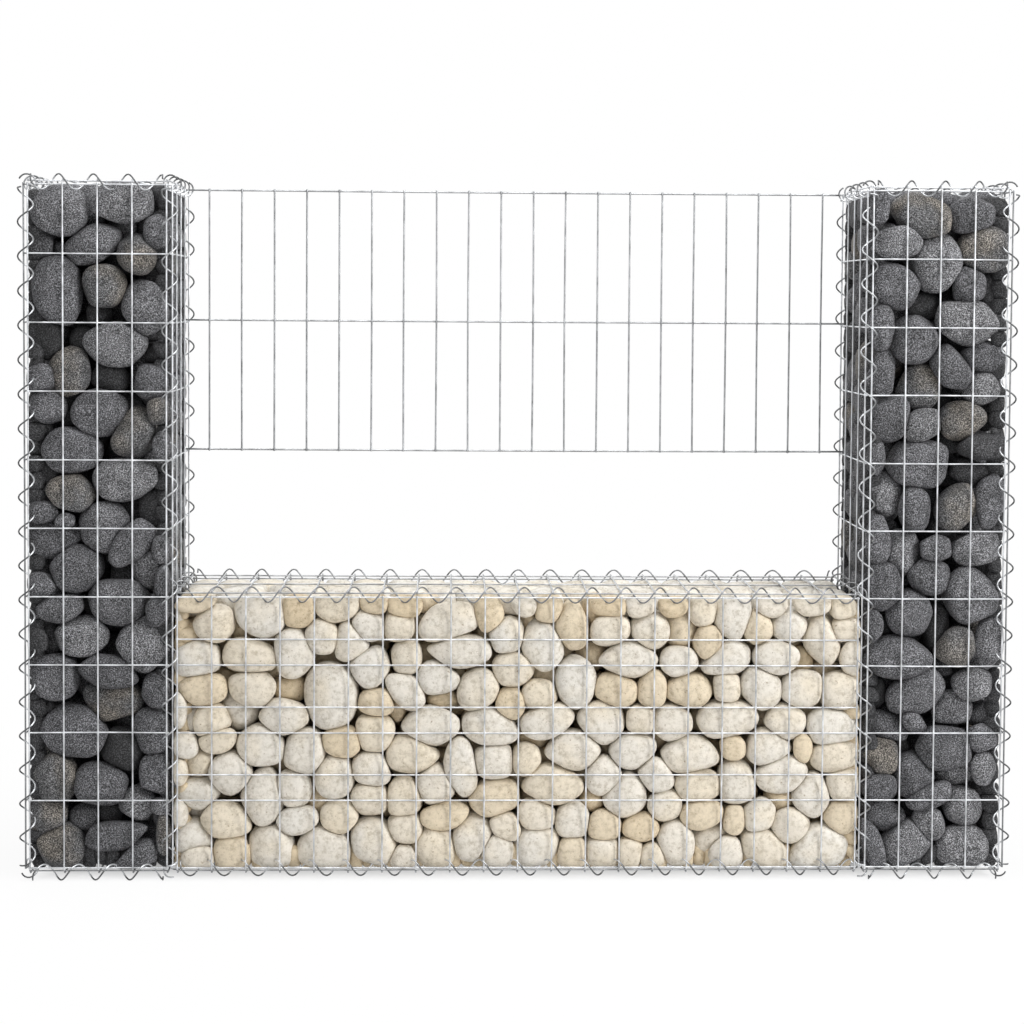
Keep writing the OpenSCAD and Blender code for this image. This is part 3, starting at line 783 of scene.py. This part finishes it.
def filling(room, laid, thrown, style, setback_and_shade, rng):
    """All the stones of one basket: those laid from the tables, a layer under the lid and one on
    the base, count more behind them, and small ones up the edges that fill what is left there.
    The tuple after style gives how far back those behind start, and the dark tone of painted
    shade that they, the second row and the edge stones take; the last of room is the rim.
    Gives three sets of points, quads and tints: the laid stones on the fine cage, the others
    near a side on the medium one, and the core, which only fills gaps, on the coarse one."""
    count, half, tones = thrown
    low, high, rim = room
    inner = low + setback_and_shade[0] * Y
    kinds = [laid_stones(*laid, low[1], setback_and_shade, rng),
             level_stones(inner, high, half, tones, rng),
             thrown_stones(inner, high, count, half, tones, rng)]
    kind = np.repeat(np.arange(3), [len(stones[0]) for stones in kinds])
    centres, halves, axes, tints = (np.concatenate(columns) for columns in zip(*kinds))
    front = np.stack([low, inner, inner])[kind]
    centres = push_apart(centres, axes * halves[:, None, :], FREEDOM[kind], front, high)
    deep = np.minimum(centres - low, high - centres)
    deep[:, 2] = high[2] - centres[:, 2]
    near_front = centres[:, 1] < low[1] + SECOND_DEPTH
    second = (kind > 0) & near_front & (deep[:, [0, 2]].min(axis=1) > SECOND_SIDE)
    # Painted shade: thrown stones of the second row, away from the sides, take the dark tone of the gaps.
    tints = np.where(second, setback_and_shade[1], tints)
    tints = np.where((kind > 0) & (deep[:, 2] < LID_DEPTH), tones[0], tints)
    tints = np.clip(tints + rng.normal(0, TINT_SPREAD, len(tints)), 0, 1)
    limits = stone_limits(centres, halves, axes, low, high, rim)
    outer = deep.min(axis=1) < OUTER_DEPTH
    packed = [limits, centres, halves, axes, tints]
    face, sides, core = ([array[chosen] for array in packed]
                         for chosen in (kind == 0, (kind > 0) & outer, (kind > 0) & ~outer))
    small = edge_stones(low, high, setback_and_shade[1], rng)
    edges = [stone_limits(*small[:3], low, high, rim), *small]
    sides = [np.concatenate(pair) for pair in zip(sides, edges)]
    return [(stone_points(cage, *forms[:4], rng, **style), quads, forms[4])
            for forms, (cage, quads) in ((face, FINE), (sides, MEDIUM), (core, COARSE))]

# %% [markdown]
# ## Dark stone
# The posts hold a dark, speckled stone: fine pale and black grains over charcoal, with a few
# brownish stones among them. Noise at two scales gives grains and clouds, and each stone's
# own tint sets how light it is.

# %% Dark stone finish
def stone_coordinates(material):
    """Object coordinates moved by the stone's own shift, so that no two stones match, and the
    stone's own tint."""
    where = add(material, "TexCoord").outputs["Object"]
    shift = add(material, "Attribute", attribute_name="stone_shift").outputs["Vector"]
    moved = add(material, "VectorMath", {0: where, 1: shift}, operation="ADD")
    return moved.outputs[0], add(material, "Attribute", attribute_name="stone_tint_and_shade").outputs["Fac"]

def dark_finish():
    """Charcoal by the stone's tint, with brown stains on some stones, under grains and clouds."""
    material, shader = start_material("dark_speckled_stone")
    where, tint = stone_coordinates(material)
    # A tint near 0 gives the near-black of painted shade in the gaps.
    grey = ramp(material, tint, [(0.0, (0.020, 0.020, 0.021)), (0.36, (0.078, 0.078, 0.083)),
                                 (0.66, (0.124, 0.124, 0.129)), (0.8, (0.078, 0.078, 0.08))])
    stained = span(material, noise(material, where, 17.0, 3.0), 0.42, 0.62)
    brown = span(material, tint, 0.74, 0.84, 0.0, 0.4)
    share = add(material, "Math", {0: stained, 1: brown}, operation="MULTIPLY").outputs[0]
    base = mix(material, share, grey, (0.15, 0.125, 0.092, 1.0))
    grains = noise(material, where, 580.0, 2.0, 0.7)
    specks = ramp(material, grains, [(0.36, 0.14), (0.5, 0.85), (0.66, 4.0)])
    clouds = ramp(material, noise(material, where, 38.0, 4.0), [(0.3, 0.72), (0.7, 1.3)])
    colour = times(material, times(material, base, specks), clouds)
    pits = noise(material, where, 190.0, 5.0, 0.65)
    wire_up(material, shader, {"Base Color": colour, "Roughness": 0.85,
                               "Normal": relief(material, pits, 0.5, 0.002)})
    return material

dark_stone = dark_finish()
print("made", dark_stone.name)

# %% Dark stones of the posts
PLACES = ("face", "side", "core")
DARK_COUNT, DARK_HALF = 168, np.array([42, 35, 31]) * MM
DARK_TONES = (0.3, 0.35, 0.35, 0.4, 0.62, 0.9)
DARK_STYLE = dict(sharpness=20.0, facets=14, cut=0.82, swell=1.02, lumps=0.03, square=2.6)
# Stones behind start 58 mm back; 0.05 is the near-black tone of painted shade in the gaps.
DARK_GROWTH, DARK_SETBACK_AND_SHADE, POST_RIM = 1.04, (58 * MM, 0.05), 4 * MM
LEFT_SEED, RIGHT_SEED = 7, 23
posts = (("left", OUT_X, IN_X, LEFT_STONES, LEFT_FRAME, LEFT_SEED),
         ("right", -IN_X, -OUT_X, RIGHT_STONES, RIGHT_FRAME, RIGHT_SEED))
for side, left_x, right_x, table, window, seed in posts:
    room, face = basket(left_x, right_x, POST_Z, INSET, POST_RIM)
    laid, thrown = (table, window, face, DARK_GROWTH), (DARK_COUNT, DARK_HALF, DARK_TONES)
    node, rng = f"{side}_post_stones", np.random.default_rng(seed)
    sets = filling(room, laid, thrown, DARK_STYLE, DARK_SETBACK_AND_SHADE, rng)
    for place, stones in zip(PLACES, sets):
        stone_piece(f"{side}_post_{place}_stones", stones, rng, dark_stone, "dark_stone", node)

# %% [markdown]
# ## Pale pebbles
# The bench holds river pebbles from white to tan. They are worn round, so they follow their
# ellipsoids closely and have only a few soft flats.

# %% Pale pebble finish
def pale_finish():
    """White to tan by the stone's tint, with warm patches, mottling and dark pits."""
    material, shader = start_material("pale_river_pebble")
    where, tint = stone_coordinates(material)
    # A tint near 0.9 gives the tan-brown of painted shade in the gaps.
    base = ramp(material, tint, [(0.0, (0.69, 0.66, 0.60)), (0.3, (0.685, 0.635, 0.55)),
                                 (0.55, (0.67, 0.595, 0.47)), (0.9, (0.62, 0.51, 0.35))])
    warm = span(material, noise(material, where, 15.0, 3.0), 0.48, 0.72, 0.0, 0.5)
    base = mix(material, warm, base, (0.71, 0.615, 0.455, 1.0))
    clouds = noise(material, where, 110.0, 6.0, 0.74)
    mottle = ramp(material, clouds, [(0.34, (0.68, 0.65, 0.60)), (0.5, 0.98), (0.66, (1.09, 1.09, 1.10))])
    grains = noise(material, where, 260.0, 3.0)
    pits = ramp(material, grains, [(0.27, (0.58, 0.52, 0.45)), (0.36, 1.0)])
    colour = times(material, times(material, base, mottle), pits)
    wire_up(material, shader, {"Base Color": colour, "Roughness": 0.7,
                               "Normal": relief(material, clouds, 0.55, 0.002)})
    return material

pale_stone = pale_finish()
print("made", pale_stone.name)

# %% Pebbles of the bench
PALE_COUNT, PALE_HALF = 380, np.array([38, 30, 25]) * MM
PALE_TONES = (0.06, 0.15, 0.15, 0.45, 0.45, 0.8)
PALE_STYLE = dict(sharpness=8.5, facets=3, cut=0.94, swell=1.12, lumps=0.025, square=2.15)
# Stones behind start 40 mm back; 0.88 is the tan-brown tone of painted shade in the gaps.
PALE_GROWTH, PALE_SETBACK_AND_SHADE, BENCH_SEED = 1.09, (40 * MM, 0.88), 11
BENCH_INSET, BENCH_RIM = np.array([0.2, 1, 1]) * INSET, np.array([11, 21, 11, 11]) * MM
room, face = basket(IN_X, -IN_X, BENCH_Z, BENCH_INSET, BENCH_RIM)
laid, thrown = (BENCH_STONES, BENCH_FRAME, face, PALE_GROWTH), (PALE_COUNT, PALE_HALF, PALE_TONES)
rng = np.random.default_rng(BENCH_SEED)
sets = filling(room, laid, thrown, PALE_STYLE, PALE_SETBACK_AND_SHADE, rng)
for place, stones in zip(PLACES, sets):
    stone_piece(f"bench_{place}_pebbles", stones, rng, pale_stone, "pale_stone", "bench_stones")

# %% [markdown]
# ## Studio
# A plain white room: the floor and the world look white to the camera, apart from a soft
# shadow under the wall. The light on the wall comes from all around and from four soft lamps:
# a key at the right, a weak fill at the left, one overhead and one behind.

# %% Floor
WHITE, FLOOR_GREY = (1.0, 1.0, 1.0, 1.0), (0.86, 0.86, 0.86, 1.0)
HALF_FLOOR, SHADOW_FROM, SHADOW_TO = 9.0, -0.1, 1.9

def white_to_camera(owner, shader, white, share):
    """Shows white in place of a shader, by a share, to rays that come from the camera or from a
    shiny or clear surface."""
    path = add(owner, "LightPath").outputs
    seen = path["Is Camera Ray"]
    for name in ("Is Glossy Ray", "Is Transmission Ray"):
        seen = add(owner, "Math", {0: seen, 1: path[name]}, operation="MAXIMUM").outputs[0]
    part = add(owner, "Math", {0: seen, 1: share}, operation="MULTIPLY").outputs[0]
    return add(owner, "MixShader", {0: part, 1: shader, 2: white}).outputs[0]

def floor_finish():
    """Pale grey that looks white to the camera, by a share that grows with the distance from
    the wall's foot."""
    material, shader = start_material("pale_floor")
    wire_up(material, shader, {"Base Color": FLOOR_GREY, "Roughness": 0.9})
    glow = add(material, "Emission", {"Color": WHITE, "Strength": 1.0}).outputs[0]
    spot = add(material, "TexCoord").outputs["Object"]
    apart = add(material, "VectorMath", {0: spot}, operation="ABSOLUTE").outputs[0]
    foot = (-OUT_X, -FRONT_Y, 0)
    beyond = add(material, "VectorMath", {0: apart, 1: foot}, operation="SUBTRACT").outputs[0]
    sides = add(material, "SeparateXYZ", {0: beyond}).outputs
    away = add(material, "Math", {0: sides[0], 1: sides[1]}, operation="MAXIMUM").outputs[0]
    beside = span(material, away, SHADOW_FROM, SHADOW_TO)
    whiten = ramp(material, beside, [(0.0, 0.3), (0.054, 0.93), (0.5, 1.0)])
    blend = white_to_camera(material, shader.outputs[0], glow, whiten)
    wire_up(material, material.node_tree.nodes["Material Output"], {0: blend})
    return material

corners = [(x * HALF_FLOOR, y * HALF_FLOOR, 0) for x, y in ((-1, -1), (1, -1), (1, 1), (-1, 1))]
floor_mesh = bpy.data.meshes.new("floor")
floor_mesh.from_pydata(corners, [], [(0, 1, 2, 3)])
floor_mesh.materials.append(floor_finish())
floor = new_object("floor", floor_mesh)
print("made", floor.name)

# %% World
ROOM_LIGHT = 0.34
world = bpy.data.worlds.new("white_room")
world.use_nodes = True
bpy.context.scene.world = world
soft = world.node_tree.nodes["Background"]
wire_up(world, soft, {"Color": WHITE, "Strength": ROOM_LIGHT})
plain = add(world, "Background", {"Color": WHITE, "Strength": 1.0}).outputs[0]
blend = white_to_camera(world, soft.outputs[0], plain, 1.0)
wire_up(world, world.node_tree.nodes["World Output"], {0: blend})
print("made", world.name)

# %% Lamps
LAMP_TARGET = np.array([0, 0, 0.5])

def lamp(name, place, size, power):
    """A square area lamp that faces the middle of the wall."""
    data = bpy.data.lights.new(name, "AREA")
    data.size, data.energy = size, power
    back = unit(np.array(place) - LAMP_TARGET)
    side = unit(np.cross(Z, back))
    new_object(name, data).matrix_world = placed(side, np.cross(back, side), back, place)
    print(name, power, "W")

lamp("key_lamp", (3.5, -2.4, 2.2), size=1.6, power=138.0)
lamp("fill_lamp", (-1.6, -4.0, 2.6), size=2.4, power=18.0)
lamp("top_lamp", (0.3, -0.6, 3.4), size=2.0, power=73.0)
lamp("back_lamp", (-1.8, 3.8, 2.4), size=2.4, power=55.0)
bpy.context.scene.view_settings.view_transform = "Standard"
